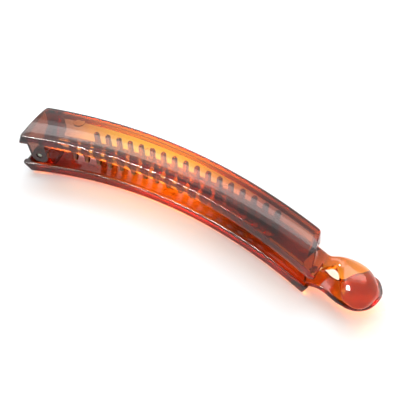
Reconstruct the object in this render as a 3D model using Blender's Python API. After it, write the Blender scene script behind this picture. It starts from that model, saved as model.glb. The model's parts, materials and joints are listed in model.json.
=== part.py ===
"""A banana hair clip in moulded tortoiseshell plastic, closed and lying on its lower arm.

Metres, +Z up. +X runs from the hinge end to the clasp end, and +Y towards the convex side.
"""

import math

import bmesh
import bpy
from mathutils import Matrix, Vector

MM = 0.001

# The clip's own curve: every arm is swept along an arc of this radius, seen from above.
ARC_RADIUS = 194.4 * MM
HINGE_END = math.radians(-19.4)
LOWER_HINGE_END = math.radians(-20.0)
CLASP_END = math.radians(19.9)
STATIONS = 28

# The ends are cut askew, by these angles at the arm's outer side. The middle of a cut draws in
# by its dish, and its outer face draws in by its draft. The corners are rounded.
HINGE_SKEW = math.radians(0.4)
CLASP_SKEW = math.radians(-1.3)
HINGE_DISH = 0.4 * MM
CLASP_DISH = 0.5 * MM
HINGE_DRAFT = 2.4 * MM
CLASP_DRAFT = 1.0 * MM
DRAFT_LEVEL = 0.3
CORNER = 1.5 * MM
CORNER_STEPS = 3

# An arm is a shallow channel that narrows towards the clasp.
WIDTH_HINGE = 21.3 * MM
WIDTH_CLASP = 16.8 * MM
CROWN = 1.4 * MM
RIM_HEIGHT = 4.2 * MM
RIM_THICK = 1.8 * MM
WALL = 2.0 * MM
EDGE = 0.45 * MM

# Height of the upper arm's outer edge above the surface, at the hinge and at the clasp.
UPPER_EDGE_HINGE = 21.4 * MM
UPPER_EDGE_CLASP = 15.1 * MM
LOWER_EDGE = CROWN

# Solid ends: walls that fill the channels between face and rims, by their length. The block's
# inner end is slanted, so that the block is longest on the near side.
UPPER_CLASP_WALL = 3.0 * MM
LOWER_HINGE_WALL = 3.0 * MM
UPPER_BLOCK = 13.2 * MM
BLOCK_SLANT = math.radians(-1.7)
END_GAP = 0.2 * MM
END_TOP = -0.4 * MM

# The combs: a row of upright teeth on the lower arm and a row of hanging teeth on the upper.
TEETH = 17
COMB_OFFSET = 4.2 * MM
COMB_FIRST = math.radians(-11.3)
COMB_STEP = math.radians(1.574)
COMB_TIP_HINGE = 16.9 * MM
COMB_TIP_CLASP = 14.2 * MM
COMB_ROOT_HALF = 1.85 * MM
COMB_TIP_HALF = 1.15 * MM
HANG_INSET = 0.65 * MM
HANG_FIRST = math.radians(-12.35)
HANG_STEP = math.radians(1.71)
HANG_LEAN = math.radians(-0.45)
HANG_TIP = 10.2 * MM
HANG_ROOT_HALF = 2.1 * MM
HANG_TIP_HALF = 1.1 * MM
TOOTH_THICK_HALF = 1.1 * MM
ROOT_SINK = 0.9 * MM

# The hinge: a steel pin through two lugs of the upper arm and the lower arm's knuckle.
PIN_ANGLE = math.radians(-17.8)
PIN_HEIGHT = 11.0 * MM
PIN_RADIUS = 1.0 * MM
PIN_HALF = 10.0 * MM
CLEARANCE = 0.3 * MM
LUG_RADIUS = 3.8 * MM
LUG_OUTER = 10.3 * MM
LUG_INNER = 8.1 * MM
KNUCKLE_RADIUS = 3.3 * MM
KNUCKLE_HALF = LUG_INNER - CLEARANCE
RAMP_REACH = 7.8 * MM
RAMP_FOOT = 5.5 * MM
RAMP_TOE = 5.4 * MM

# Sections of the two clasp tails, in millimetres: x, far and near edge in y, height of the
# edges, how far the middle rises above them, and half the thickness.
UPPER_TAIL = (
    ("x", "far", "near", "z", "rise", "half"),
    (63.4, -7.2, -18.6, 12.9, 0.2, 1.5),
    (65.8, -7.8, -20.6, 12.5, 0.2, 1.7),
    (67.6, -8.2, -20.6, 12.0, 0.2, 1.8),
    (68.6, -8.2, -19.0, 11.5, 0.2, 1.8),
    (69.3, -8.2, -15.4, 11.0, 0.2, 1.7),
    (70.4, -8.0, -13.7, 10.4, 0.2, 1.6),
    (71.6, -7.4, -12.7, 10.1, 0.3, 1.6),
    (73.2, -6.5, -11.6, 10.0, 0.4, 1.5),
    (75.0, -5.7, -12.8, 9.9, 0.9, 1.4),
    (76.5, -5.2, -17.0, 9.8, 1.6, 1.2),
    (78.5, -4.8, -21.2, 9.6, 2.3, 1.0),
    (81.0, -4.9, -22.6, 9.4, 2.8, 1.0),
    (83.5, -5.8, -22.7, 9.4, 2.8, 1.0),
    (85.7, -7.6, -21.4, 9.4, 2.3, 1.0),
    (87.4, -10.2, -18.8, 9.4, 1.4, 1.0),
    (88.4, -12.6, -16.2, 9.5, 0.5, 0.8),
)
LOWER_TAIL = (
    ("x", "far", "near", "z", "rise", "half"),
    (62.5, -9.6, -18.2, 2.3, 0.0, 1.2),
    (65.5, -10.0, -18.6, 3.2, 0.0, 1.3),
    (68.0, -10.4, -18.6, 4.6, -0.1, 1.4),
    (70.5, -10.9, -18.9, 5.6, -0.4, 1.4),
    (73.0, -12.5, -19.5, 6.0, -0.7, 1.4),
    (75.5, -12.9, -20.5, 6.1, -1.0, 1.4),
    (77.5, -11.7, -21.2, 6.1, -1.3, 1.4),
    (79.5, -9.0, -21.6, 6.1, -1.5, 1.4),
    (81.5, -7.0, -21.8, 6.1, -1.6, 1.4),
    (84.0, -5.8, -21.3, 6.1, -1.6, 1.4),
    (86.5, -5.4, -19.8, 6.1, -1.5, 1.4),
    (88.4, -6.4, -17.7, 6.1, -1.1, 1.4),
    (89.7, -8.6, -15.0, 6.1, -0.6, 1.3),
    (90.3, -10.6, -13.0, 6.1, -0.2, 1.0),
)
TAIL_STEPS = 9


def clear_scene():
    """Remove the objects of the startup scene."""
    for obj in list(bpy.data.objects):
        bpy.data.objects.remove(obj, do_unlink=True)


def plastic(name, colour):
    """Glossy see-through plastic."""
    material = bpy.data.materials.new(name)
    material.use_nodes = True
    shader = material.node_tree.nodes["Principled BSDF"]
    shader.inputs["Base Color"].default_value = (*colour, 1.0)
    shader.inputs["Roughness"].default_value = 0.12
    shader.inputs["Transmission Weight"].default_value = 0.6
    return material


def steel(name):
    """Bright drawn wire."""
    material = bpy.data.materials.new(name)
    material.use_nodes = True
    shader = material.node_tree.nodes["Principled BSDF"]
    shader.inputs["Base Color"].default_value = (0.62, 0.63, 0.62, 1.0)
    shader.inputs["Metallic"].default_value = 1.0
    shader.inputs["Roughness"].default_value = 0.25
    return material


def on_arc(angle, offset, height):
    """Point at an angle round the clip's curve, offset outwards from it."""
    reach = ARC_RADIUS + offset
    return Vector((reach * math.sin(angle), reach * math.cos(angle) - ARC_RADIUS, height))


def mix(start, end, share):
    return start + (end - start) * share


def along(angle):
    """Share of the way from the hinge end to the clasp end."""
    return (angle - HINGE_END) / (CLASP_END - HINGE_END)


def half_width(angle):
    return mix(WIDTH_HINGE, WIDTH_CLASP, along(angle)) / 2


def upper_edge(angle):
    """Height of the upper arm's outer edge: the arm slopes down towards the clasp."""
    return mix(UPPER_EDGE_HINGE, UPPER_EDGE_CLASP, along(angle))


def lower_edge(angle):
    """Height of the lower arm's outer edge, the same all along."""
    return LOWER_EDGE


def crown(offset, half):
    """Rise of the outer face above its edge."""
    return CROWN * (1 - (offset / half) ** 2)


def channel_outline(half):
    """The arm's cross-section as (offset, height above the outer edge), once round."""
    inner = half - RIM_THICK
    outside = [mix(0.0, half - EDGE, share) for share in (0.15, 0.38, 0.6, 0.8, 1.0)]
    inside = [mix(0.0, inner - EDGE, share) for share in (1.0, 0.7, 0.4, 0.15)]
    right = [(offset, crown(offset, half)) for offset in outside]
    right += [(half - 0.3 * EDGE, -0.3 * EDGE), (half, -1.2 * EDGE)]
    right += [(half, EDGE - RIM_HEIGHT), (half - EDGE, -RIM_HEIGHT)]
    right += [(inner + EDGE, -RIM_HEIGHT), (inner, EDGE - RIM_HEIGHT)]
    right += [(inner, crown(inner, half) - WALL - EDGE)]
    right += [(offset, crown(offset, half) - WALL) for offset in inside]
    return right + [(-offset, height) for offset, height in reversed(right)]


def end_wall_outline(half):
    """The end wall's cross-section, which reaches into the channel's face and rims."""
    side = half - RIM_THICK / 2
    low = EDGE - RIM_HEIGHT
    return [(side, END_TOP), (side, low), (-side, low), (-side, END_TOP)]


def loft(mesh, rings):
    """Bridge closed rings of points one after the other and cap both ends."""
    loops = [[mesh.verts.new(point) for point in ring] for ring in rings]
    for first, second in zip(loops, loops[1:]):
        for index in range(len(first)):
            after = (index + 1) % len(first)
            mesh.faces.new((first[index], first[after], second[after], second[index]))
    mesh.faces.new(reversed(loops[0]))
    mesh.faces.new(loops[-1])


def finish(mesh, name, helper=False):
    """Turn a bmesh into an object with outward faces. A helper is hidden from the build."""
    bmesh.ops.recalc_face_normals(mesh, faces=mesh.faces)
    data = bpy.data.meshes.new(name)
    mesh.to_mesh(data)
    mesh.free()
    obj = bpy.data.objects.new(name, data)
    bpy.context.scene.collection.objects.link(obj)
    if helper:
        obj.hide_render = True
        obj.display_type = "WIRE"
    return obj


def swept_ring(outline, middle, share, edge, side, slant=0.0):
    """An outline placed across the arm, bent like the cuts at its ends, and slanted if asked."""
    half = half_width(middle)
    skew = mix(HINGE_SKEW, CLASP_SKEW, share) + slant
    dish = mix(HINGE_DISH, -CLASP_DISH, share)
    draft = mix(HINGE_DRAFT, -CLASP_DRAFT, share)
    ring = []
    for offset, height in outline:
        across = offset / half
        shift = dish * (1 - across * across) + draft * (height / RIM_HEIGHT + DRAFT_LEVEL)
        angle = middle + skew * across + shift / ARC_RADIUS
        ring.append(on_arc(angle, offset, edge + side * height))
    return ring


def stations(length):
    """Places along an arm as (share of its length, how far its sides draw in there)."""
    corner = CORNER / length
    turns = [math.pi / 2 * step / CORNER_STEPS for step in range(CORNER_STEPS, 0, -1)]
    start = [(corner * (1 - math.sin(turn)), CORNER * (1 - math.cos(turn))) for turn in turns]
    middle = [(mix(corner, 1 - corner, step / STATIONS), 0.0) for step in range(STATIONS + 1)]
    return start + middle + [(1 - share, inset) for share, inset in reversed(start)]


def arm_shell(name, hinge_end, edge_height, side):
    """One arm's channel. side is +1 with the outer face up and -1 with it down."""
    mesh = bmesh.new()
    rings = []
    for share, inset in stations(ARC_RADIUS * (CLASP_END - hinge_end)):
        middle = mix(hinge_end, CLASP_END, share)
        outline = channel_outline(half_width(middle) - inset)
        rings.append(swept_ring(outline, middle, share, edge_height(middle), side))
    loft(mesh, rings)
    return finish(mesh, name)


def end_wall(name, end, length, edge_height, side, slant=0.0):
    """A solid end of a channel. end is the angle of its cut, and length runs inwards."""
    mesh = bmesh.new()
    share = 1.0 if end > 0 else 0.0
    rings = []
    for distance, inset, turn in ((length, 0.0, slant), (CORNER, 0.0, 0.0), (END_GAP, CORNER, 0.0)):
        middle = end - math.copysign(distance / ARC_RADIUS, end)
        outline = end_wall_outline(half_width(middle) - inset)
        rings.append(swept_ring(outline, middle, share, edge_height(middle), side, turn))
    loft(mesh, rings)
    return finish(mesh, name, helper=True)


def tooth(mesh, angle, offset, root, tip, root_half, tip_half, lean=0.0):
    """A tapered tooth with a round tip, whose tip stands a lean angle away from its root."""
    rise = tip - root
    way = math.copysign(1.0, rise)
    sections = (
        (root, 1.0, root_half),
        (root + 0.45 * rise, 1.0, mix(root_half, tip_half, 0.55)),
        (tip - way * tip_half, 0.95, tip_half),
        (tip - way * 0.4 * tip_half, 0.8, 0.8 * tip_half),
        (tip, 0.35, 0.35 * tip_half),
    )
    rings = []
    for height, thick, half in sections:
        ring = []
        middle = angle + lean * (height - root) / rise
        for corner in range(8):
            turn = math.tau * (corner + 0.5) / 8
            round_x = half * math.cos(turn) / math.cos(math.pi / 8)
            round_y = thick * TOOTH_THICK_HALF * math.sin(turn) / math.cos(math.pi / 8)
            ring.append(on_arc(middle + round_x / (ARC_RADIUS + offset), offset + round_y, height))
        rings.append(ring)
    loft(mesh, rings)


def lower_comb():
    """The upright teeth."""
    mesh = bmesh.new()
    for index in range(TEETH):
        angle = COMB_FIRST + index * COMB_STEP
        tip = mix(COMB_TIP_HINGE, COMB_TIP_CLASP, along(angle))
        tooth(mesh, angle, COMB_OFFSET, ROOT_SINK, tip, COMB_ROOT_HALF, COMB_TIP_HALF)
    return finish(mesh, "comb_upright", helper=True)


def upper_comb():
    """The hanging teeth, which grow out of the near rim's inner side."""
    mesh = bmesh.new()
    for index in range(TEETH):
        angle = HANG_FIRST + index * HANG_STEP
        offset = RIM_THICK + HANG_INSET - half_width(angle)
        root = upper_edge(angle) + crown(offset, half_width(angle)) - ROOT_SINK
        tooth(mesh, angle, offset, root, HANG_TIP, HANG_ROOT_HALF, HANG_TIP_HALF, HANG_LEAN)
    return finish(mesh, "comb_hanging", helper=True)


def pin_frame(offset):
    """Axes at the pin: x along the arm, y along the pin and z up, offset along the pin."""
    return (
        Matrix.Translation(on_arc(PIN_ANGLE, offset, PIN_HEIGHT))
        @ Matrix.Rotation(-PIN_ANGLE, 4, "Z")
    )


def slab(mesh, outline, start, end):
    """A plate cut to an outline of (x, z) round the pin, from start to end along the pin."""
    rings = []
    for offset in (start, end):
        frame = pin_frame(offset)
        rings.append([frame @ Vector((x, 0.0, z)) for x, z in outline])
    loft(mesh, rings)


def round_end(radius, first, last, steps):
    """Points round the pin from one angle to another."""
    turns = [mix(first, last, step / steps) for step in range(steps + 1)]
    return [(radius * math.cos(turn), radius * math.sin(turn)) for turn in turns]


def upper_hinge():
    """The upper arm's two lugs."""
    mesh = bmesh.new()
    top = UPPER_EDGE_HINGE - WALL / 2 - PIN_HEIGHT
    lug = round_end(LUG_RADIUS, -math.pi, 0.0, 10) + [(LUG_RADIUS, top), (-LUG_RADIUS, top)]
    for side in (-1, 1):
        slab(mesh, lug, side * LUG_OUTER, side * LUG_INNER)
    return finish(mesh, "hinge_lugs", helper=True)


def lower_hinge():
    """The knuckle on the lower arm, with the ramp that runs up to it from the arm's end."""
    mesh = bmesh.new()
    floor = WALL / 2 - PIN_HEIGHT
    outline = [(-RAMP_TOE, floor), (-RAMP_REACH, RAMP_FOOT - PIN_HEIGHT)]
    outline += round_end(KNUCKLE_RADIUS, math.radians(128), 0.0, 9)
    outline += [(KNUCKLE_RADIUS, floor)]
    slab(mesh, outline, -KNUCKLE_HALF, KNUCKLE_HALF)
    return finish(mesh, "hinge_knuckle", helper=True)


def rod(name, radius, half_length, helper=False):
    """A round bar on the hinge axis."""
    mesh = bmesh.new()
    bmesh.ops.create_cone(
        mesh,
        cap_ends=True,
        segments=20,
        radius1=radius,
        radius2=radius,
        depth=2 * half_length,
        matrix=pin_frame(0.0) @ Matrix.Rotation(math.radians(90), 4, "X"),
    )
    return finish(mesh, name, helper)


def tail(name, table):
    """A clasp tail lofted through the rows of its table."""
    mesh = bmesh.new()
    rings = []
    for x, far, near, height, rise, half in table[1:]:
        upper = []
        lower = []
        for step in range(TAIL_STEPS + 1):
            share = step / TAIL_STEPS
            across = 2 * share - 1
            middle = height + rise * (1 - across * across)
            thick = half * (1 - across**6) + 0.35 * half * across**6
            y = mix(far, near, share)
            upper.append(Vector((x, y, middle + thick)) * MM)
            lower.append(Vector((x, y, middle - thick)) * MM)
        rings.append(upper + lower[::-1])
    loft(mesh, rings)
    return finish(mesh, name, helper=True)


def join(target, operand, operation="UNION"):
    """Add a Boolean that joins a helper to a piece or cuts it from the piece."""
    modifier = target.modifiers.new(operand.name, "BOOLEAN")
    modifier.operation = operation
    modifier.solver = "EXACT"
    modifier.object = operand


def smooth(obj):
    """Round faces shaded smooth, with the real edges left sharp."""
    obj.data.shade_smooth()
    obj.data.set_sharp_from_angle(angle=math.radians(40))


def make_lower_arm(material, bore):
    """The arm that lies on the surface: channel, upright comb, knuckle and cup."""
    shell = arm_shell("lower_arm", LOWER_HINGE_END, lower_edge, -1)
    cup = tail("tail_cup", LOWER_TAIL)
    wall = end_wall("lower_end", LOWER_HINGE_END, LOWER_HINGE_WALL, lower_edge, -1)
    for operand in (cup, wall, lower_comb(), lower_hinge()):
        join(shell, operand)
    join(shell, bore, "DIFFERENCE")
    shell.data.materials.append(material)
    smooth(shell)
    return shell


def make_upper_arm(material, bore):
    """The arm that swings up, with its origin on the hinge axis."""
    shell = arm_shell("upper_arm", HINGE_END, upper_edge, 1)
    hook = tail("tail_hook", UPPER_TAIL)
    wall = end_wall("upper_end", CLASP_END, UPPER_CLASP_WALL, upper_edge, 1)
    block = end_wall("upper_block", HINGE_END, UPPER_BLOCK, upper_edge, 1, BLOCK_SLANT)
    for operand in (hook, wall, block, upper_comb(), upper_hinge()):
        join(shell, operand)
    join(shell, bore, "DIFFERENCE")
    shell.data.materials.append(material)
    smooth(shell)
    pivot = on_arc(PIN_ANGLE, 0.0, PIN_HEIGHT)
    shell.data.transform(Matrix.Translation(-pivot))
    shell.location = pivot
    return shell


def make_pin(material):
    """The hinge pin."""
    pin = rod("hinge_pin", PIN_RADIUS, PIN_HALF)
    pin.data.materials.append(material)
    smooth(pin)
    return pin


def centre_on_base(pieces):
    """Move everything so that the origin is the middle of the clip's footprint."""
    bpy.context.view_layer.update()
    graph = bpy.context.evaluated_depsgraph_get()
    points = []
    for piece in pieces:
        evaluated = piece.evaluated_get(graph)
        points += [evaluated.matrix_world @ corner.co for corner in evaluated.data.vertices]
    lows = [min(point[axis] for point in points) for axis in range(3)]
    highs = [max(point[axis] for point in points) for axis in range(3)]
    shift = Vector((-(lows[0] + highs[0]) / 2, -(lows[1] + highs[1]) / 2, -lows[2]))
    for obj in bpy.data.objects:
        obj.location += shift


def main():
    clear_scene()
    tortoiseshell = plastic("tortoiseshell", (0.72, 0.25, 0.05))
    bore = rod("pin_bore", PIN_RADIUS + CLEARANCE, WIDTH_HINGE, helper=True)
    pieces = [
        make_lower_arm(tortoiseshell, bore),
        make_upper_arm(tortoiseshell, bore),
        make_pin(steel("pin_steel")),
    ]
    centre_on_base(pieces)


main()
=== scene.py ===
"""Looks of a closed banana hair clip in tortoiseshell plastic, lying on a pale surface.

The clip is two curved channel mouldings with combs, a steel hinge pin, and two clasp tails
that curl over each other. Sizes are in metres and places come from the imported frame.
"""

from __future__ import annotations

import json
import logging
import math
from dataclasses import dataclass, field
from enum import Enum
from typing import Callable, Iterable, Sequence

import bmesh
import bpy
from bmesh.types import BMEdge, BMesh, BMVert
from bpy.types import ID, Material, Node, NodeSocket, NodeTree, Object
from mathutils import Matrix, Vector


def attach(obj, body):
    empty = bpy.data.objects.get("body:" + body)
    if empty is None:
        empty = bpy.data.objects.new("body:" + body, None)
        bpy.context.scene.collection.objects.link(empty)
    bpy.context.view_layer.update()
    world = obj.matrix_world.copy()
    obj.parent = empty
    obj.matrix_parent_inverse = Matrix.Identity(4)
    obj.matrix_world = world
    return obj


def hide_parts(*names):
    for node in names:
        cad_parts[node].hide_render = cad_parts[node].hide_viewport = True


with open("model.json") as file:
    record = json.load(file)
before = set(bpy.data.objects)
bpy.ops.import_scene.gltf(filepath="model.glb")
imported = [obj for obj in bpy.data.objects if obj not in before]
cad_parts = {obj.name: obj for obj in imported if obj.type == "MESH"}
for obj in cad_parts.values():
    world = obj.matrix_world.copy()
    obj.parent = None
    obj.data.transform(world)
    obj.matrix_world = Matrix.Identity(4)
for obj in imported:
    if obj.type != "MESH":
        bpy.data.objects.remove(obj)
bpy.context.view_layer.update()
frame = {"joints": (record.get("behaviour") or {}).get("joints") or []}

LOG = logging.getLogger("clip")
MM = 0.001
MERGE_DISTANCE = 1e-7
CORNER_LIMIT = 0.45

Point = tuple[float, float]
Triple = tuple[float, float, float]
Colour = Triple


class Side(Enum):
    """Which way an arm's outer face looks."""

    UP = 1
    DOWN = -1


def mix(start: float, end: float, share: float) -> float:
    """Value a share of the way from start to end."""
    return start + (end - start) * share


def signed_power(value: float, power: float) -> float:
    """Power that keeps the sign; under 1 it turns a circle into a rounded square."""
    return math.copysign(abs(value) ** power, value)


def add_object(name: str, data: ID) -> Object:
    """Put new data into the scene.

    Args:
        name: The object's name.
        data: Mesh, light or camera.

    Returns:
        The new object.
    """
    obj = bpy.data.objects.new(name, data)
    bpy.context.scene.collection.objects.link(obj)
    return obj


@dataclass(frozen=True)
class ClipCurve:
    """The arc, seen from above, that both arms follow, and how they narrow along it."""

    radius: float = 194.4 * MM
    hinge_end: float = math.radians(-19.4)
    clasp_end: float = math.radians(19.9)
    hinge_skew: float = math.radians(0.4)
    clasp_skew: float = math.radians(-1.3)
    hinge_dish: float = 0.4 * MM
    clasp_dish: float = -0.5 * MM
    hinge_draft: float = 2.4 * MM
    clasp_draft: float = -1.0 * MM
    draft_level: float = 0.3
    rim_height: float = 4.2 * MM
    width_hinge: float = 21.3 * MM
    width_clasp: float = 16.8 * MM
    pin_angle: float = math.radians(-17.8)
    pin_height: float = 11.0 * MM

    @property
    def shift(self) -> Vector:
        """Offset from the arc's own frame to the row frame, read from the hinge joint."""
        joint = frame["joints"][0]
        reach = self.radius
        local = Vector((reach * math.sin(self.pin_angle), reach * math.cos(self.pin_angle) - reach))
        place = joint["pos_m"]
        return Vector((place[0] - local.x, place[1] - local.y, place[2] - self.pin_height))

    def at(self, angle: float, offset: float, height: float) -> Vector:
        """Point of the row frame.

        Args:
            angle: Angle round the arc, zero at its middle.
            offset: Distance outwards from the arc, towards the convex side.
            height: Height above the surface.

        Returns:
            The point in metres.
        """
        reach = self.radius + offset
        flat = Vector((reach * math.sin(angle), reach * math.cos(angle) - self.radius, height))
        return flat + self.shift

    def share(self, angle: float) -> float:
        """Share of the way from the hinge end to the clasp end, at an angle."""
        return (angle - self.hinge_end) / (self.clasp_end - self.hinge_end)

    def half_width(self, angle: float) -> float:
        """Half of the arm's width at an angle round the arc."""
        return mix(self.width_hinge, self.width_clasp, self.share(angle)) / 2

    def ring(self, outline: Sequence[Point], middle: float, share: float, edge: float,
             side: Side, slant: float = 0.0) -> list[Vector]:
        """Outline placed across an arm, bent like the cuts at its ends.

        The middle of a cut draws in by its dish, and its outer face draws in by its draft.

        Args:
            outline: Points as (offset, height above the outer edge).
            middle: Angle round the arc at the middle of the arm.
            share: Share of the arm's length, for the bend.
            edge: Height of the outer edge above the surface.
            side: Which way the arm's outer face looks.
            slant: Further skew of the ring.

        Returns:
            The ring's points.
        """
        half = self.half_width(middle)
        skew = mix(self.hinge_skew, self.clasp_skew, share) + slant
        dish = mix(self.hinge_dish, self.clasp_dish, share)
        draft = mix(self.hinge_draft, self.clasp_draft, share)
        points = []
        for offset, height in outline:
            across = offset / half
            depth = height / self.rim_height + self.draft_level
            shift = dish * (1 - across * across) + draft * depth
            angle = middle + skew * across + shift / self.radius
            points.append(self.at(angle, offset, edge + side.value * height))
        return points

    def pin_axes(self, offset: float) -> Matrix:
        """Axes at an offset along the pin: x along the arm, y along the pin, z up."""
        place = Matrix.Translation(self.at(self.pin_angle, offset, self.pin_height))
        return place @ Matrix.Rotation(-self.pin_angle, 4, "Z")


CURVE = ClipCurve()


def round_corners(corners: Sequence[Triple], steps: int = 4) -> list[Point]:
    """Replace each corner that has a radius by an arc.

    Args:
        corners: Closed outline as (x, y, radius) rows.
        steps: Segments in each arc.

    Returns:
        The outline's points.
    """
    points: list[Point] = []
    for index, (x, y, radius) in enumerate(corners):
        here = Vector((x, y))
        before = Vector(corners[index - 1][:2]) - here
        after = Vector(corners[(index + 1) % len(corners)][:2]) - here
        if radius <= 0:
            points.append((x, y))
            continue
        half = before.angle(after) / 2
        limit = CORNER_LIMIT * min(before.length, after.length)
        reach = min(radius / math.tan(half), limit)
        size = reach * math.tan(half)
        inwards = (before.normalized() + after.normalized()).normalized()
        centre = here + inwards * size / math.sin(half)
        first = here + before.normalized() * reach - centre
        last = here + after.normalized() * reach - centre
        turn = math.atan2(first.y, first.x)
        swing = math.remainder(math.atan2(last.y, last.x) - turn, math.tau)
        for step in range(steps + 1):
            angle = turn + swing * step / steps
            points.append((centre.x + size * math.cos(angle), centre.y + size * math.sin(angle)))
    return points


def loft(mesh: BMesh, rings: Sequence[Sequence[Vector]]) -> None:
    """Extrude a closed ring through the others in turn and close both ends.

    Args:
        mesh: The mesh that takes the new faces.
        rings: Rings of points, each with the same number of points.
    """
    verts = [mesh.verts.new(point) for point in rings[0]]
    edges = [mesh.edges.new((verts[i - 1], verts[i])) for i in range(len(verts))]
    bmesh.ops.contextual_create(mesh, geom=edges)
    for ring in rings[1:]:
        fresh = bmesh.ops.extrude_edge_only(mesh, edges=edges)["geom"]
        added = {item for item in fresh if isinstance(item, BMVert)}
        edges = [item for item in fresh if isinstance(item, BMEdge)
                 and item.verts[0] in added and item.verts[1] in added]
        verts = [next(edge.other_vert(vert) for edge in vert.link_edges
                      if edge.other_vert(vert) in added) for vert in verts]
        for vert, point in zip(verts, ring):
            vert.co = point
    bmesh.ops.contextual_create(mesh, geom=edges)


def to_object(mesh: BMesh, name: str) -> Object:
    """Turn a bmesh into an object at the origin, with its faces outwards.

    Args:
        mesh: The finished bmesh, which is freed.
        name: The object's name.

    Returns:
        The new object.
    """
    bmesh.ops.remove_doubles(mesh, verts=mesh.verts, dist=MERGE_DISTANCE)
    bmesh.ops.recalc_face_normals(mesh, faces=mesh.faces)
    data = bpy.data.meshes.new(name)
    mesh.to_mesh(data)
    mesh.free()
    return add_object(name, data)


def fuse(base: Object, joined: Iterable[Object],
         cut: Iterable[Object]) -> None:
    """Join helpers to a piece and cut others from it, then delete the helpers.

    Args:
        base: The piece that changes.
        joined: Closed helpers that become part of it.
        cut: Closed helpers that are taken out of it.
    """
    helpers = [(obj, "UNION") for obj in joined] + [(obj, "DIFFERENCE") for obj in cut]
    for obj, operation in helpers:
        modifier = base.modifiers.new(obj.name, "BOOLEAN")
        modifier.operation = operation
        modifier.solver = "EXACT"
        modifier.object = obj
    bpy.context.view_layer.update()
    graph = bpy.context.evaluated_depsgraph_get()
    fused = bpy.data.meshes.new_from_object(base.evaluated_get(graph))
    base.modifiers.clear()
    base.data = fused
    for obj, _ in helpers:
        bpy.data.objects.remove(obj)


def shade(obj: Object, sharp: float = 38.0) -> None:
    """Smooth shading that leaves the edges over an angle in degrees sharp."""
    obj.data.shade_smooth()
    obj.data.set_sharp_from_angle(angle=math.radians(sharp))


@dataclass(frozen=True)
class Channel:
    """The arms' cross-section: a crowned face with a rim along each side."""

    crown: float = 1.4 * MM
    rim_thick: float = 1.8 * MM
    wall: float = 2.0 * MM
    outer_radius: float = 0.55 * MM
    rim_radius: float = 0.45 * MM
    inner_radius: float = 1.3 * MM
    face_steps: int = 8
    face_reach: float = 0.96
    inside_reach: float = 0.6
    corner_steps: int = 6

    def rise(self, offset: float, half: float) -> float:
        """Height of the outer face above its edge, at an offset from the middle line."""
        return self.crown * (1 - (offset / half) ** 2)

    def outline(self, half: float) -> list[Point]:
        """Cross-section once round.

        Args:
            half: Half of the arm's width there.

        Returns:
            Points as (offset, height above the outer edge).
        """
        inner = half - self.rim_thick
        shares = [step / self.face_steps for step in range(self.face_steps + 1)]
        outside = [mix(0.0, half * self.face_reach, share) for share in shares]
        inside = [mix(inner * self.inside_reach, 0.0, share) for share in shares]
        corners = [(x, self.rise(x, half), 0.0) for x in outside]
        corners += [(half, 0.0, self.outer_radius)]
        corners += [(side, -CURVE.rim_height, self.rim_radius) for side in (half, inner)]
        corners += [(inner, self.rise(inner, half) - self.wall, self.inner_radius)]
        corners += [(x, self.rise(x, half) - self.wall, 0.0) for x in inside]
        mirrored = [(-x, y, radius) for x, y, radius in reversed(corners[1:-1])]
        return round_corners(corners + mirrored, self.corner_steps)


@dataclass
class Comb:
    """A row of tapered round-ended teeth.

    offset, root and tip give, for an angle round the arc, how far out a tooth stands and the
    heights of its two ends.
    """

    name: str
    first: float
    step: float
    root_half: float
    tip_half: float
    offset: Callable[[float], float]
    root: Callable[[float], float]
    tip: Callable[[float], float]
    lean: float = 0.0
    count: int = 17
    thick_half: float = 1.1 * MM
    flare: float = 0.22
    flare_share: float = 0.24
    body_shares: tuple[float, ...] = (0.0, 0.08, 0.16, 0.24, 0.36, 0.5, 0.64, 0.76)
    taper_share: float = 0.85
    tip_turn: float = math.radians(86)
    tip_thin: float = 0.95
    squareness: float = 0.8
    sides: int = 16
    tip_steps: int = 6

    def build(self) -> Object:
        """Make the row.

        Returns:
            One helper object of separate closed teeth.
        """
        mesh = bmesh.new()
        for index in range(self.count):
            self.tooth(mesh, self.first + index * self.step)
        return to_object(mesh, self.name)

    def tooth(self, mesh: BMesh, angle: float) -> None:
        """Add one tooth.

        Args:
            mesh: The mesh that takes it.
            angle: Its place round the arc.
        """
        root, tip = self.root(angle), self.tip(angle)
        way = math.copysign(1.0, tip - root)
        sections = []
        for share in self.body_shares:
            half = mix(self.root_half, self.tip_half, share / self.taper_share)
            flare = 1 + self.flare * max(0.0, 1 - share / self.flare_share) ** 2
            sections.append((mix(root, tip, share), half * flare, self.thick_half * flare))
        for step in range(self.tip_steps):
            turn = self.tip_turn * step / (self.tip_steps - 1)
            height = tip - way * self.tip_half * (1 - math.sin(turn))
            thick = self.tip_thin * self.thick_half
            sections.append((height, self.tip_half * math.cos(turn), thick * math.cos(turn)))
        offset = self.offset(angle)
        rings = []
        for height, half, thick in sections:
            middle = angle + self.lean * (height - root) / (tip - root)
            ring = []
            for corner in range(self.sides):
                turn = math.tau * (corner + 0.5) / self.sides
                along = signed_power(math.cos(turn), self.squareness) * half
                across = signed_power(math.sin(turn), self.squareness) * thick
                place = middle + along / (CURVE.radius + offset)
                ring.append(CURVE.at(place, offset + across, height))
            rings.append(ring)
        loft(mesh, rings)


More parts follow.
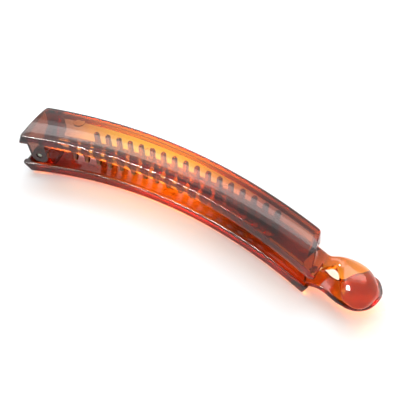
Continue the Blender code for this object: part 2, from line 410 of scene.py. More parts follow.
@dataclass
class Tail:
    """A clasp tail, lofted through a short table of sections across it.

    Each row gives x, the far and near edge in y, the height of the edges, how far the middle
    rises above them and half the thickness, in millimetres.
    """

    name: str
    rows: tuple[tuple[float, ...], ...]
    across: int = 20
    between: int = 4
    flat_power: float = 0.55
    edge_power: float = 0.75

    def smooth_rows(self) -> list[list[float]]:
        """Add smooth rows between those of the table, on a spline through them.

        Returns:
            All the rows in order.
        """
        rows = [list(row) for row in self.rows]
        padded = [rows[0]] + rows + [rows[-1]]
        out = []
        for index in range(len(rows) - 1):
            around = padded[index : index + 4]
            for step in range(self.between):
                t = step / self.between
                out.append([
                    0.5 * (2 * b + (c - a) * t + (2 * a - 5 * b + 4 * c - d) * t * t
                           + (3 * b - a - 3 * c + d) * t**3)
                    for a, b, c, d in zip(*around)
                ])
        return out + [rows[-1]]

    def build(self) -> Object:
        """Loft the tail.

        Returns:
            The closed helper.
        """
        mesh = bmesh.new()
        rings = []
        for x, far, near, height, rise, half in self.smooth_rows():
            ring = []
            for step in range(2 * self.across):
                turn = math.tau * (step + 0.5) / (2 * self.across)
                flat = signed_power(math.cos(turn), self.flat_power)
                middle = height + rise * (1 - flat * flat)
                y = mix(far, near, (1 + flat) / 2)
                thick = half * signed_power(math.sin(turn), self.edge_power)
                ring.append(Vector((x, y, middle + thick)) * MM + CURVE.shift)
            rings.append(ring)
        loft(mesh, rings)
        return to_object(mesh, self.name)


def plate(mesh: BMesh, outline: Sequence[Point], start: float, end: float) -> None:
    """Add a plate square to the pin.

    Args:
        mesh: The mesh that takes it.
        outline: Points (x, z) round the pin.
        start: Where one face lies along the pin.
        end: Where the other lies.
    """
    rings = []
    for offset in (start, end):
        axes = CURVE.pin_axes(offset)
        rings.append([axes @ Vector((x, 0.0, z)) for x, z in outline])
    loft(mesh, rings)


def arc_points(radius: float, first: float, last: float, steps: int) -> list[Point]:
    """Points (x, z) round the pin's axis from one angle to another."""
    turns = [mix(first, last, step / steps) for step in range(steps + 1)]
    return [(radius * math.cos(turn), radius * math.sin(turn)) for turn in turns]


BAR_SEGMENTS = 48
BEVEL_SEGMENTS = 3
RIM_ANGLE = 1.0


def bar(name: str, radius: float, half_length: float, bevel: float = 0.0) -> Object:
    """Round bar on the hinge axis.

    Args:
        name: The object's name.
        radius: The bar's radius.
        half_length: Half of its length.
        bevel: Width of the bevel at its ends, none if 0.

    Returns:
        The bar.
    """
    mesh = bmesh.new()
    bmesh.ops.create_cone(
        mesh, cap_ends=True, segments=BAR_SEGMENTS, radius1=radius, radius2=radius,
        depth=2 * half_length,
        matrix=CURVE.pin_axes(0.0) @ Matrix.Rotation(math.radians(90), 4, "X"),
    )
    if bevel:
        rims = [edge for edge in mesh.edges if edge.calc_face_angle(0.0) > RIM_ANGLE]
        bmesh.ops.bevel(mesh, geom=rims, offset=bevel, segments=BEVEL_SEGMENTS, profile=0.5,
                        affect="EDGES", material=-1)
    return to_object(mesh, name)


@dataclass
class HingeParts:
    """Sizes of the hinge, shared by both arms."""

    clearance: float = 0.3 * MM
    pin_radius: float = 1.0 * MM
    pin_half: float = 10.0 * MM
    pin_bevel: float = 0.2 * MM
    lug_radius: float = 3.8 * MM
    lug_outer: float = 10.3 * MM
    lug_inner: float = 8.1 * MM
    knuckle_radius: float = 3.3 * MM
    ramp_reach: float = 7.8 * MM
    ramp_foot: float = 5.5 * MM
    ramp_toe: float = 5.4 * MM
    face_height: float = 20.4 * MM
    knuckle_start: float = math.radians(128)
    knuckle_floor: float = 1.0 * MM
    lug_steps: int = 24
    knuckle_steps: int = 20

    def lugs(self) -> Object:
        """Make the upper arm's two lugs.

        Returns:
            One helper with both.
        """
        mesh = bmesh.new()
        top = self.face_height - CURVE.pin_height
        outline = arc_points(self.lug_radius, -math.pi, 0.0, self.lug_steps)
        outline += [(self.lug_radius, top), (-self.lug_radius, top)]
        for side in (-1, 1):
            plate(mesh, outline, side * self.lug_outer, side * self.lug_inner)
        return to_object(mesh, "helper_lugs")

    def knuckle(self) -> Object:
        """Make the lower arm's knuckle and the ramp that runs up to it.

        Returns:
            The closed helper.
        """
        mesh = bmesh.new()
        floor = self.knuckle_floor - CURVE.pin_height
        outline = [(-self.ramp_toe, floor), (-self.ramp_reach, self.ramp_foot - CURVE.pin_height)]
        outline += arc_points(self.knuckle_radius, self.knuckle_start, 0.0, self.knuckle_steps)
        outline += [(self.knuckle_radius, floor)]
        half = self.lug_inner - self.clearance
        plate(mesh, outline, -half, half)
        return to_object(mesh, "helper_knuckle")

    def bore(self) -> Object:
        """Make the cutter for the pin's hole."""
        return bar("helper_bore", self.pin_radius + self.clearance, 2 * self.pin_half)


@dataclass
class Arm:
    """One moulded arm: channel, comb, hinge and clasp tail, fused into one piece."""

    name: str
    node: str
    body: str
    side: Side
    hinge_end: float
    edge_hinge: float
    edge_clasp: float
    channel: Channel = field(default_factory=Channel)
    hinge: HingeParts = field(default_factory=HingeParts)
    stations: int = 72
    corner: float = 1.5 * MM
    corner_steps: int = 6
    wall_length: float = 3.0 * MM
    wall_gap: float = 0.2 * MM
    wall_sink: float = 0.4 * MM
    mark_radius: float = 2.4 * MM
    mark_depth: float = 0.7 * MM
    mark_sides: int = 40

    def edge_height(self, angle: float) -> float:
        """Height of the outer edge above the surface, at an angle round the arc."""
        return mix(self.edge_hinge, self.edge_clasp, CURVE.share(angle))

    def places(self) -> list[tuple[float, float]]:
        """Places of the sweep's rings.

        Returns:
            Pairs of share of the arm's length and how far its sides draw in there.
        """
        corner = self.corner / (CURVE.radius * (CURVE.clasp_end - self.hinge_end))
        turns = [math.pi / 2 * step / self.corner_steps for step in range(self.corner_steps, 0, -1)]
        start = [(corner * (1 - math.sin(turn)), self.corner * (1 - math.cos(turn)))
                 for turn in turns]
        middle = [(mix(corner, 1 - corner, step / self.stations), 0.0)
                  for step in range(self.stations + 1)]
        return start + middle + [(1 - share, inset) for share, inset in reversed(start)]

    def shell(self) -> Object:
        """Sweep the channel along the arc.

        Returns:
            The bare channel.
        """
        mesh = bmesh.new()
        rings = []
        for share, inset in self.places():
            middle = mix(self.hinge_end, CURVE.clasp_end, share)
            outline = self.channel.outline(CURVE.half_width(middle) - inset)
            rings.append(CURVE.ring(outline, middle, share, self.edge_height(middle), self.side))
        loft(mesh, rings)
        return to_object(mesh, self.name)

    def end_wall(self, end: float, length: float, slant: float = 0.0) -> Object:
        """Solid end of the channel.

        Args:
            end: Angle of the cut at that end.
            length: How far the wall runs inwards.
            slant: Skew of its inner end.

        Returns:
            The closed helper.
        """
        mesh = bmesh.new()
        rings = []
        cuts = ((length, 0.0, slant), (self.corner, 0.0, 0.0), (self.wall_gap, self.corner, 0.0))
        for distance, inset, turn in cuts:
            middle = end - math.copysign(distance / CURVE.radius, end)
            side = CURVE.half_width(middle) - inset - self.channel.rim_thick / 2
            top, low = -self.wall_sink, self.wall_sink - CURVE.rim_height
            outline = [(side, top), (side, low), (-side, low), (-side, top)]
            height = self.edge_height(middle)
            rings.append(CURVE.ring(outline, middle, float(end > 0), height, self.side, turn))
        loft(mesh, rings)
        return to_object(mesh, "helper_end_wall")

    def ejector_marks(self, places: Sequence[Point]) -> Object:
        """Low round marks that the mould's pins leave on the channel's inner face.

        Args:
            places: Angle round the arc and offset of each mark.

        Returns:
            The marks as one helper of closed discs.
        """
        mesh = bmesh.new()
        for angle, offset in places:
            rise = self.channel.rise(offset, CURVE.half_width(angle))
            height = self.edge_height(angle) + self.side.value * (rise - self.channel.wall)
            bmesh.ops.create_cone(
                mesh, cap_ends=True, segments=self.mark_sides, radius1=self.mark_radius,
                radius2=self.mark_radius, depth=self.mark_depth,
                matrix=Matrix.Translation(CURVE.at(angle, offset, height)),
            )
        return to_object(mesh, "helper_marks")

    def parts(self) -> list[Object]:
        """Make the closed helpers that are fused to the shell, the tail first."""
        raise NotImplementedError

    def build(self) -> Object:
        """Make the whole arm and put it on its body in place of its node.

        Returns:
            The arm.
        """
        arm = self.shell()
        fuse(arm, self.parts(), [self.hinge.bore()])
        shade(arm)
        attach(arm, self.body)
        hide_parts(self.node)
        LOG.info("%s: %d faces", self.name, len(arm.data.polygons))
        return arm


@dataclass
class UpperArm(Arm):
    """The arm that shows from above, with the hanging teeth, the lugs and the hook tail."""

    comb_first: float = math.radians(-12.35)
    comb_step: float = math.radians(1.71)
    comb_root_half: float = 2.0 * MM
    comb_tip_half: float = 1.1 * MM
    comb_inset: float = 0.65 * MM
    comb_sink: float = 0.9 * MM
    comb_tip: float = 10.2 * MM
    comb_lean: float = math.radians(-0.45)
    block_length: float = 13.2 * MM
    block_slant: float = math.radians(-1.7)
    marks: tuple[Point, ...] = (
        (math.radians(-13.5), 4.2 * MM),
        (math.radians(-2.9), -0.4 * MM),
        (math.radians(7.7), -1.5 * MM),
    )

    def comb_offset(self, angle: float) -> float:
        """Offset of the tooth at an angle, just inside the near rim's inner side."""
        return self.channel.rim_thick + self.comb_inset - CURVE.half_width(angle)

    def comb_root(self, angle: float) -> float:
        """Height of the root of the tooth at an angle, just inside the face."""
        rise = self.channel.rise(self.comb_offset(angle), CURVE.half_width(angle))
        return self.edge_height(angle) + rise - self.comb_sink

    def parts(self) -> list[Object]:
        """Make the hook, both solid ends, the comb, the lugs and the marks.

        Returns:
            The helpers in that order.
        """
        comb = Comb("helper_hanging", self.comb_first, self.comb_step, self.comb_root_half,
                    self.comb_tip_half, self.comb_offset, self.comb_root,
                    lambda angle: self.comb_tip, self.comb_lean)
        return [
            Tail("helper_hook", UPPER_TAIL).build(),
            self.end_wall(CURVE.clasp_end, self.wall_length),
            self.end_wall(self.hinge_end, self.block_length, self.block_slant),
            comb.build(), self.hinge.lugs(), self.ejector_marks(self.marks),
        ]


@dataclass
class LowerArm(Arm):
    """The arm that lies on the surface, with the upright comb, the knuckle and the cup tail."""

    comb_first: float = math.radians(-11.3)
    comb_step: float = math.radians(1.574)
    comb_root_half: float = 1.8 * MM
    comb_tip_half: float = 1.15 * MM
    comb_offset: float = 4.2 * MM
    comb_root: float = 0.9 * MM
    comb_tip_hinge: float = 16.9 * MM
    comb_tip_clasp: float = 14.2 * MM
    marks: tuple[Point, ...] = (
        (math.radians(-14.0), -4.0 * MM),
        (math.radians(0.0), -3.0 * MM),
        (math.radians(12.0), -2.5 * MM),
    )

    def parts(self) -> list[Object]:
        """Make the cup, the solid end, the comb, the knuckle and the marks.

        Returns:
            The helpers in that order.
        """
        comb = Comb("helper_upright", self.comb_first, self.comb_step, self.comb_root_half,
                    self.comb_tip_half, lambda angle: self.comb_offset,
                    lambda angle: self.comb_root,
                    lambda angle: mix(self.comb_tip_hinge, self.comb_tip_clasp, CURVE.share(angle)))
        return [
            Tail("helper_cup", LOWER_TAIL).build(),
            self.end_wall(self.hinge_end, self.wall_length),
            comb.build(), self.hinge.knuckle(), self.ejector_marks(self.marks),
        ]


UPPER_EDGES = (21.4 * MM, 15.1 * MM)
LOWER_EDGES = (1.4 * MM, 1.4 * MM)
LOWER_HINGE_END = math.radians(-20.0)
UPPER_TAIL = (
    (63.4, -7.2, -18.6, 12.9, 0.2, 1.5),
    (65.8, -7.8, -20.6, 12.5, 0.2, 1.7),
    (67.6, -8.2, -20.6, 12.0, 0.2, 1.8),
    (68.6, -8.2, -19.0, 11.5, 0.2, 1.8),
    (69.3, -8.2, -15.4, 11.0, 0.2, 1.7),
    (70.4, -8.0, -13.7, 10.4, 0.2, 1.6),
    (71.6, -7.4, -12.7, 10.1, 0.3, 1.6),
    (73.2, -6.5, -11.6, 10.0, 0.4, 1.5),
    (75.0, -5.7, -12.8, 9.9, 0.9, 1.4),
    (76.5, -5.2, -17.0, 9.8, 1.6, 1.2),
    (78.5, -4.8, -21.2, 9.6, 2.3, 1.0),
    (81.0, -4.9, -22.6, 9.4, 2.8, 1.0),
    (83.5, -5.8, -22.7, 9.4, 2.8, 1.0),
    (85.7, -7.6, -21.4, 9.4, 2.3, 1.0),
    (87.4, -10.2, -18.8, 9.4, 1.4, 1.0),
    (88.4, -12.6, -16.2, 9.5, 0.5, 0.8),
)
LOWER_TAIL = (
    (62.5, -9.6, -18.2, 2.3, 0.0, 1.2),
    (65.5, -10.0, -18.6, 3.2, 0.0, 1.3),
    (68.0, -10.4, -18.6, 4.6, -0.1, 1.4),
    (70.5, -10.9, -18.9, 5.6, -0.4, 1.4),
    (73.0, -12.5, -19.5, 6.0, -0.7, 1.4),
    (75.5, -12.9, -20.5, 6.1, -1.0, 1.4),
    (77.5, -11.7, -21.2, 6.1, -1.3, 1.4),
    (79.5, -9.0, -21.6, 6.1, -1.5, 1.4),
    (81.5, -7.0, -21.8, 6.1, -1.6, 1.4),
    (84.0, -5.8, -21.3, 6.1, -1.6, 1.4),
    (86.5, -5.4, -19.8, 6.1, -1.5, 1.4),
    (88.4, -6.4, -17.7, 6.1, -1.1, 1.4),
    (89.7, -8.6, -15.0, 6.1, -0.6, 1.3),
    (90.3, -10.6, -13.0, 6.1, -0.2, 1.0),
)


class Nodes:
    """Short way to add and link shader nodes in one tree."""

    def __init__(self, tree: NodeTree) -> None:
        """Take the node tree to fill."""
        self.tree = tree

    def add(self, kind: str, **values: object) -> Node:
        """Add a node and set its properties.

        Args:
            kind: The node's type.
            values: Properties by name.

        Returns:
            The node.
        """
        node = self.tree.nodes.new(kind)
        for name, value in values.items():
            setattr(node, name, value)
        return node

    def link(self, start: NodeSocket, end: NodeSocket) -> None:
        """Link an output socket to an input socket."""
        self.tree.links.new(start, end)

    def math(self, operation: str, first: object, second: object = None) -> NodeSocket:
        """Math node on sockets or numbers.

        Args:
            operation: The node's operation.
            first: Socket or number.
            second: Socket or number, if the operation takes two.

        Returns:
            The result's socket.
        """
        node = self.add("ShaderNodeMath", operation=operation)
        for index, value in enumerate((first, second)):
            if isinstance(value, NodeSocket):
                self.link(value, node.inputs[index])
            elif value is not None:
                node.inputs[index].default_value = value
        return node.outputs[0]

    def span(self, value: NodeSocket, start: float, end: float) -> NodeSocket:
        """Smooth step.

        Args:
            value: Socket to test.
            start: Value that gives 0.
            end: Value that gives 1.

        Returns:
            The result's socket.
        """
        node = self.add("ShaderNodeMapRange", interpolation_type="SMOOTHSTEP")
        self.link(value, node.inputs["Value"])
        node.inputs["From Min"].default_value = start
        node.inputs["From Max"].default_value = end
        return node.outputs["Result"]

    def noise(self, vector: NodeSocket, scale: float, detail: float,
              distortion: float = 0.0) -> NodeSocket:
        """Noise.

        Args:
            vector: Where to read it.
            scale: Patches in a metre.
            detail: Octaves.
            distortion: How much the patches swirl.

        Returns:
            The value's socket.
        """
        node = self.add("ShaderNodeTexNoise")
        self.link(vector, node.inputs["Vector"])
        node.inputs["Scale"].default_value = scale
        node.inputs["Detail"].default_value = detail
        node.inputs["Distortion"].default_value = distortion
        return node.outputs["Fac"]

    def bump(self, height: NodeSocket, strength: float, distance: float,
             shader: Node) -> None:
        """Give a shader a bump.

        Args:
            height: Socket with the relief.
            strength: How strong it is.
            distance: Depth of the relief in metres.
            shader: The shader that takes it.
        """
        node = self.add("ShaderNodeBump")
        node.inputs["Strength"].default_value = strength
        node.inputs["Distance"].default_value = distance
        self.link(height, node.inputs["Height"])
        self.link(node.outputs["Normal"], shader.inputs["Normal"])


def new_material(name: str) -> tuple[Material, Nodes, Node]:
    """Start a material.

    Args:
        name: The material's name.

    Returns:
        The material, a helper to fill it and its shader.
    """
    material = bpy.data.materials.new(name)
    material.use_nodes = True
    return material, Nodes(material.node_tree), material.node_tree.nodes["Principled BSDF"]


def new_group(name: str, outputs: Iterable[str]) -> tuple[Nodes, NodeSocket, Node]:
    """Start a shader node group that turns a position into numbers.

    Args:
        name: The group's name.
        outputs: Names of the numbers.

    Returns:
        A helper to fill it, the position's socket and the group's output node.
    """
    tree = bpy.data.node_groups.new(name, "ShaderNodeTree")
    tree.interface.new_socket("Vector", in_out="INPUT", socket_type="NodeSocketVector")
    for label in outputs:
        tree.interface.new_socket(label, in_out="OUTPUT", socket_type="NodeSocketFloat")
    nodes = Nodes(tree)
    vector = nodes.add("NodeGroupInput").outputs["Vector"]
    return nodes, vector, nodes.add("NodeGroupOutput")


@dataclass(frozen=True)
class ClipPlaces:
    """Where a point lies along the clip, and masks of painted shade on its plastic.

    The shade is painted where the hanging teeth show through the upper arm's face, along its
    far edge and on the cut at the hinge end. A pair gives where a mask is 0 and where 1.
    """

    first: float = math.radians(-12.5)
    step: float = UpperArm.comb_step
    # Ranges of the painted shade where the hanging teeth show through the face.
    column: Point = (0.42, 0.30)
    near_side: Point = (1.5 * MM, 1.7 * MM)
    far_side: Point = (4.0 * MM, 3.6 * MM)
    row_start: Point = (0.0, 0.1)
    row_end: Point = (0.80, 0.66)
    # Ranges of the painted shade along the far edge and on the cut at the hinge end.
    far_edge: Point = (0.5 * MM, 0.3 * MM)
    upper_edge: Point = (-1.4 * MM, -1.0 * MM)
    arm_end: Point = (1.0, 0.99)
    hinge_cut: Point = (0.016, 0.010)

    def group(self) -> NodeTree:
        """Make the group.

        Returns:
            The group.
        """
        nodes, vector, end = new_group("clip_places", ("Share", "TeethShade", "Edges"))
        split = nodes.add("ShaderNodeSeparateXYZ")
        nodes.link(vector, split.inputs[0])
        centre = CURVE.at(0.0, -CURVE.radius, 0.0)
        across = nodes.math("SUBTRACT", split.outputs["X"], centre.x)
        out = nodes.math("SUBTRACT", split.outputs["Y"], centre.y)
        angle = nodes.math("ARCTAN2", across, out)
        length = CURVE.clasp_end - CURVE.hinge_end
        share = nodes.math("DIVIDE", nodes.math("SUBTRACT", angle, CURVE.hinge_end), length)
        reach = nodes.math("SQRT", nodes.math("ADD", nodes.math("MULTIPLY", across, across),
                                              nodes.math("MULTIPLY", out, out)))
        taper = nodes.math("MULTIPLY", share, (CURVE.width_clasp - CURVE.width_hinge) / 2)
        half = nodes.math("ADD", taper, CURVE.width_hinge / 2)
        offset = nodes.math("SUBTRACT", reach, CURVE.radius)
        from_near = nodes.math("ADD", offset, half)
        from_far = nodes.math("SUBTRACT", half, offset)
        nodes.link(share, end.inputs["Share"])
        nodes.link(self.teeth(nodes, angle, share, from_near), end.inputs["TeethShade"])
        nodes.link(self.edges(nodes, split.outputs["Z"], share, from_far), end.inputs["Edges"])
        return nodes.tree

    def teeth(self, nodes: Nodes, angle: NodeSocket, share: NodeSocket,
              from_near: NodeSocket) -> NodeSocket:
        """Mask of painted shade where the hanging teeth show through the upper arm's face.

        Args:
            nodes: Helper for the group.
            angle: Angle round the arc.
            share: Share of the way along.
            from_near: Distance from the near edge.

        Returns:
            The mask's socket.
        """
        count = nodes.math("DIVIDE", nodes.math("SUBTRACT", angle, self.first), self.step)
        turns = nodes.math("ADD", count, 0.5)
        away = nodes.math("ABSOLUTE", nodes.math("SUBTRACT", nodes.math("FRACT", turns), 0.5))
        band = nodes.math("MULTIPLY", nodes.span(from_near, *self.near_side),
                          nodes.span(from_near, *self.far_side))
        row = nodes.math("MULTIPLY", nodes.span(turns, *self.row_start),
                         nodes.span(share, *self.row_end))
        column = nodes.span(away, *self.column)
        return nodes.math("MULTIPLY", nodes.math("MULTIPLY", column, band), row)

    def edges(self, nodes: Nodes, height: NodeSocket, share: NodeSocket,
              from_far: NodeSocket) -> NodeSocket:
        """Mask of painted shade along the upper arm's far edge and on the cut at the hinge end.

        Args:
            nodes: Helper for the group.
            height: Height above the surface.
            share: Share of the way along.
            from_far: Distance from the far edge.

        Returns:
            The mask's socket.
        """
        fall = nodes.math("MULTIPLY", share, UPPER_EDGES[1] - UPPER_EDGES[0])
        edge = nodes.math("ADD", fall, UPPER_EDGES[0])
        high = nodes.span(nodes.math("SUBTRACT", height, edge), *self.upper_edge)
        arm = nodes.math("MULTIPLY", high, nodes.span(share, *self.arm_end))
        far = nodes.math("MULTIPLY", nodes.span(from_far, *self.far_edge), arm)
        return nodes.math("MAXIMUM", far, nodes.span(share, *self.hinge_cut))


CLOUDS = (
    ("Patches", 55.0, 3.0, 0.6),
    ("Streaks", 190.0, 4.0, 1.2),
    ("Waviness", 120.0, 1.0, 0.0),
)


def mottle_group() -> NodeTree:
    """Group with the plastic's soft cloudy patches and fine surface waviness.

    Returns:
        The group.
    """
    nodes, vector, end = new_group("cloudy_patches", [row[0] for row in CLOUDS])
    for label, *values in CLOUDS:
        nodes.link(nodes.noise(vector, *values), end.inputs[label])
    return nodes.tree


BAND_REACH = 1.25
GLASS_IOR = 1.5


@dataclass(frozen=True)
class Tortoiseshell:
    """Clear moulded plastic whose colour runs from dark brown to amber and back, darkened by
    painted shade over the hanging teeth and along the edges.
    """

    name: str
    bands: tuple[tuple[float, Colour], ...]
    roughness: float = 0.05
    cloud: float = 0.10
    # How strongly painted shade darkens the colour over the hanging teeth and along the edges.
    tooth_shade: float = 0.0
    edge_shade: float = 0.9
    shadow_tint: float = 0.12
    shadow_grey: Colour = (0.88, 0.89, 0.90)
    body_colour: Colour = (0.949, 0.66, 0.01)
    body_density: float = 700.0
    # Colour that the painted shade multiplies into the plastic's colour.
    painted_shade_colour: Colour = (0.12, 0.06, 0.05)
    streak_gloss: float = 0.05
    wave_strength: float = 0.06
    wave_depth: float = 0.4 * MM

    def make(self, places: NodeTree, mottle: NodeTree) -> Material:
        """Build the material.

        Args:
            places: Group with the share along the clip and the darker parts.
            mottle: Group with the patches and the waviness.

        Returns:
            places: Group with the share along the clip and the masks of painted shade.
        """
        material, nodes, shader = new_material(self.name)
        output = material.node_tree.nodes["Material Output"]
        where = nodes.add("ShaderNodeTexCoord").outputs["Object"]
        parts = nodes.add("ShaderNodeGroup", node_tree=places)
        clouds = nodes.add("ShaderNodeGroup", node_tree=mottle)
        nodes.link(where, parts.inputs["Vector"])
        nodes.link(where, clouds.inputs["Vector"])
        patches = nodes.math("SUBTRACT", clouds.outputs["Patches"], 0.5)
        wander = nodes.math("MULTIPLY", patches, self.cloud)
        place = nodes.math("DIVIDE", nodes.math("ADD", parts.outputs["Share"], wander), BAND_REACH)
        ramp = nodes.add("ShaderNodeValToRGB")
        ramp.color_ramp.interpolation = "B_SPLINE"
        stops = ramp.color_ramp.elements
        while len(stops) < len(self.bands):
            stops.new(0.5)
        for stop, (at, colour) in zip(stops, self.bands):
            stop.position = at / BAND_REACH
            stop.color = (*colour, 1.0)
        nodes.link(place, ramp.inputs["Fac"])
        # Painted shade: the ramp's colour is darkened over the hanging teeth and along the edges.
        teeth = nodes.math("MULTIPLY", parts.outputs["TeethShade"], self.tooth_shade)
        edges = nodes.math("MULTIPLY", parts.outputs["Edges"], self.edge_shade)
        depth = nodes.math("MAXIMUM", teeth, edges)
        darker = nodes.add("ShaderNodeMix", data_type="RGBA", blend_type="MULTIPLY")
        nodes.link(depth, darker.inputs["Factor"])
        nodes.link(ramp.outputs["Color"], darker.inputs[6])
        darker.inputs[7].default_value = (*self.painted_shade_colour, 1.0)
        nodes.link(darker.outputs[2], shader.inputs["Base Color"])
        streaks = nodes.math("MULTIPLY", clouds.outputs["Streaks"], self.streak_gloss)
        nodes.link(nodes.math("ADD", streaks, self.roughness), shader.inputs["Roughness"])
        nodes.bump(clouds.outputs["Waviness"], self.wave_strength, self.wave_depth, shader)
        shader.inputs["Transmission Weight"].default_value = 1.0
        shader.inputs["IOR"].default_value = GLASS_IOR
        self.tint_shadow(nodes, shader, output, ramp.outputs["Color"])
        body = nodes.add("ShaderNodeVolumeAbsorption")
        body.inputs["Color"].default_value = (*self.body_colour, 1.0)
        body.inputs["Density"].default_value = self.body_density
        nodes.link(body.outputs["Volume"], output.inputs["Volume"])
        return material

    def tint_shadow(self, nodes: Nodes, shader: Node, output: Node,
                    colour: NodeSocket) -> None:
        """Let tinted light through to the surface below.

        Args:
            nodes: Helper for the material.
            shader: The plastic's shader.
            output: The material's output.
            colour: Socket with the plastic's colour.
        """
        path = nodes.add("ShaderNodeLightPath")
        clear = nodes.add("ShaderNodeBsdfTransparent")
        soften = nodes.add("ShaderNodeMix", data_type="RGBA")
        soften.inputs["Factor"].default_value = self.shadow_tint
        soften.inputs[6].default_value = (*self.shadow_grey, 1.0)
        nodes.link(colour, soften.inputs[7])
        nodes.link(soften.outputs[2], clear.inputs["Color"])
        blend = nodes.add("ShaderNodeMixShader")
        nodes.link(path.outputs["Is Shadow Ray"], blend.inputs["Fac"])
        nodes.link(shader.outputs["BSDF"], blend.inputs[1])
        nodes.link(clear.outputs["BSDF"], blend.inputs[2])
        nodes.link(blend.outputs["Shader"], output.inputs["Surface"])


@dataclass(frozen=True)
class PinSteel:
    """Drawn steel wire with a fine noisy grain."""

    name: str = "pin_steel"
    colour: Colour = (0.36, 0.38, 0.31)
    grain_scale: float = 900.0
    grain_detail: float = 2.0
    grain_dark: float = 0.75
    roughness: float = 0.2
    grain_gloss: float = 0.15
    bump_strength: float = 0.1
    bump_depth: float = 0.1 * MM

    def make(self) -> Material:
        """Build the material.

        Returns:
            The material.
        """
        material, nodes, shader = new_material(self.name)
        where = nodes.add("ShaderNodeTexCoord").outputs["Object"]
        grain = nodes.noise(where, self.grain_scale, self.grain_detail)
        shade_mix = nodes.add("ShaderNodeMix", data_type="RGBA")
        nodes.link(grain, shade_mix.inputs["Factor"])
        shade_mix.inputs[6].default_value = (*[c * self.grain_dark for c in self.colour], 1.0)
        shade_mix.inputs[7].default_value = (*self.colour, 1.0)
        nodes.link(shade_mix.outputs[2], shader.inputs["Base Color"])
        gloss = nodes.math("ADD", nodes.math("MULTIPLY", grain, self.grain_gloss), self.roughness)
        nodes.link(gloss, shader.inputs["Roughness"])
        nodes.bump(grain, self.bump_strength, self.bump_depth, shader)
        shader.inputs["Metallic"].default_value = 1.0
        return material


@dataclass
class Studio:
    """Pale surface, soft light and the camera."""

    lens: float = 36.0
    sensor: float = 36.0
    near_clip: float = 5.0 * MM
    pitch: float = 48.1
    yaw: float = -29.3
    camera_at: Triple = (69.2, -99.2, 128.3)
    strip_turn: float = -30.0
    strip_lift: float = 54.0
    strip_spread: float = 75.0
    key_way: Triple = (-0.41, -0.10, 0.90)
    key_size: Point = (0.22, 0.36)
    key_distance: float = 0.9
    key_radiance: float = 80.0
    strips: tuple[Triple, ...] = ((0.9, 16.0, 3.0), (0.95, 30.0, 1.0))
    floor_size: float = 3.0
    floor_drop: float = 0.05 * MM
    floor_colour: Colour = (0.90, 0.94, 0.955)
    floor_roughness: float = 0.7
    sky: float = 0.9

    def camera(self) -> None:
        """Camera at the photograph's viewing angle."""
        data = bpy.data.cameras.new("camera")
        data.sensor_width = self.sensor
        data.lens = self.lens
        data.clip_start = self.near_clip
        obj = add_object("camera", data)
        obj.location = Vector(self.camera_at) * MM + CURVE.shift
        obj.rotation_euler = (math.radians(90 - self.pitch), 0.0, math.radians(-self.yaw))
        bpy.context.scene.camera = obj

    def floor(self) -> None:
        """Large pale surface that the clip lies on."""
        mesh = bmesh.new()
        bmesh.ops.create_grid(mesh, x_segments=1, y_segments=1, size=self.floor_size,
                              matrix=Matrix.Translation((0.0, 0.0, -self.floor_drop)))
        obj = to_object(mesh, "floor")
        material, _, shader = new_material("floor_white")
        shader.inputs["Base Color"].default_value = (*self.floor_colour, 1.0)
        shader.inputs["Roughness"].default_value = self.floor_roughness
        obj.data.materials.append(material)

    def area(self, name: str, shape: str, size: Point, radiance: float, way: Vector,
             distance: float) -> Object:
        """Area light that faces the clip.

        Args:
            name: The light's name.
            shape: Its shape.
            size: Its width and height in metres.
            radiance: Its brightness.
            way: Direction from the clip.
            distance: Distance from the clip in metres.

        Returns:
            The light.
        """
        data = bpy.data.lights.new(name, "AREA")
        data.shape = shape
        data.size, data.size_y = size
        data.energy = radiance * math.pi * data.size * data.size_y
        obj = add_object(name, data)
        obj.location = way * distance
        obj.rotation_euler = (-way).to_track_quat("-Z", "Y").to_euler()
        return obj

    def key(self, pieces: Sequence[Object]) -> None:
        """Small bright light above the clip, which draws the thin lines along its edges.

        Args:
            pieces: The pieces that it lights; the floor isn't one.
        """
        way = Vector(self.key_way).normalized()
        obj = self.area("key", "ELLIPSE", self.key_size, self.key_radiance, way, self.key_distance)
        lit = bpy.data.collections.new("lit_by_key")
        for piece in pieces:
            lit.objects.link(piece)
        obj.light_linking.receiver_collection = lit

    def strip(self, distance: float, height: float, radiance: float) -> None:
        """Long softbox behind the clip, level along its top.

        Args:
            distance: Distance from the clip in metres.
            height: Angle in degrees that it covers upwards.
            radiance: Brightness against the white surroundings.
        """
        size = tuple(2 * distance * math.tan(math.radians(angle / 2))
                     for angle in (self.strip_spread, height))
        turn, lift = math.radians(self.strip_turn), math.radians(self.strip_lift)
        flat = math.cos(lift)
        way = Vector((math.sin(turn) * flat, math.cos(turn) * flat, math.sin(lift)))
        self.area("softbox", "RECTANGLE", size, radiance, way, distance)

    def world(self) -> None:
        """Even white surroundings."""
        bpy.context.scene.world = world = bpy.data.worlds.new("world")
        world.use_nodes = True
        back = world.node_tree.nodes["Background"]
        back.inputs["Color"].default_value = (1.0, 1.0, 1.0, 1.0)
        back.inputs["Strength"].default_value = self.sky

    def build(self, pieces: Sequence[Object]) -> None:
        """Set up everything round the clip.

        Args:
            pieces: The clip's pieces.
        """
        self.world()
        self.floor()
        self.camera()
        self.key(pieces)
        for row in self.strips:
            self.strip(*row)
        bpy.context.scene.view_settings.view_transform = "Standard"


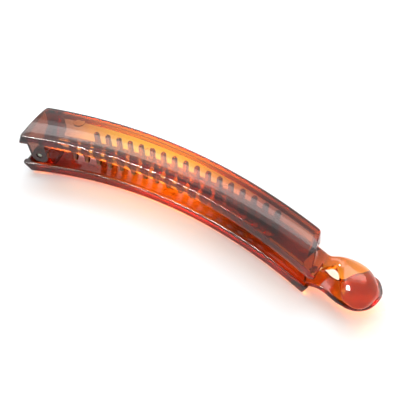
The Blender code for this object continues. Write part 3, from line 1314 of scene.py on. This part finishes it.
UPPER_BANDS = (
    (0.00, (0.237, 0.137, 0.32)),
    (0.11, (0.237, 0.137, 0.28)),
    (0.20, (0.774, 0.387, 0.24)),
    (0.34, (1, 0.806, 0.12)),
    (0.55, (1, 0.742, 0.12)),
    (0.66, (0.645, 0.258, 0.08)),
    (0.80, (0.237, 0.056, 0.08)),
    (0.89, (0.22, 0.08, 0.07)),
    (0.97, (0.42, 0.16, 0.07)),
    (1.02, (0.16, 0.07, 0.05)),
    (1.07, (0.946, 0.50, 0.1)),
    (1.25, (0.86, 0.323, 0.08)),
)
LOWER_BANDS = (
    (0.00, (0.40, 0.20, 0.22)),
    (0.10, (0.22, 0.075, 0.12)),
    (0.25, (0.15, 0.055, 0.09)),
    (0.39, (0.50, 0.34, 0.18)),
    (0.56, (0.52, 0.34, 0.15)),
    (0.68, (0.25, 0.12, 0.10)),
    (0.80, (0.09, 0.045, 0.12)),
    (0.93, (0.42, 0.18, 0.10)),
    (1.06, (0.31, 0.11, 0.02)),
    (1.25, (0.34, 0.12, 0.04)),
)


def main() -> None:
    """Build the clip and its surroundings in order."""
    logging.basicConfig(level=logging.INFO, format="%(name)s: %(message)s")
    groups = ClipPlaces().group(), mottle_group()
    upper = UpperArm("arm_upper", "upper_arm", "upper", Side.UP, CURVE.hinge_end, *UPPER_EDGES)
    lower = LowerArm("arm_lower", "lower_arm", "lower", Side.DOWN, LOWER_HINGE_END, *LOWER_EDGES)
    above, below = upper.build(), lower.build()
    # Painted shade over the hanging teeth goes on the upper arm only. The upper arm also gets it
    # along its far edge, and both arms get it at the hinge end.
    finishes = (
        (above, Tortoiseshell("tortoiseshell_upper", UPPER_BANDS, tooth_shade=0.9),
         "tortoiseshell_upper"),
        (below, Tortoiseshell("tortoiseshell_lower", LOWER_BANDS), "tortoiseshell_lower"),
    )
    for piece, finish, slot in finishes:
        piece.data.materials.clear()
        piece.data.materials.append(finish.make(*groups))
    hinge = HingeParts()
    pin = bar("pin", hinge.pin_radius, hinge.pin_half, hinge.pin_bevel)
    shade(pin)
    pin.data.materials.append(PinSteel().make())
    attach(pin, "lower")
    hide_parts("hinge_pin")
    LOG.info("pin: %d faces", len(pin.data.polygons))
    Studio().build((above, below, pin))


if __name__ == "__main__":
    main()
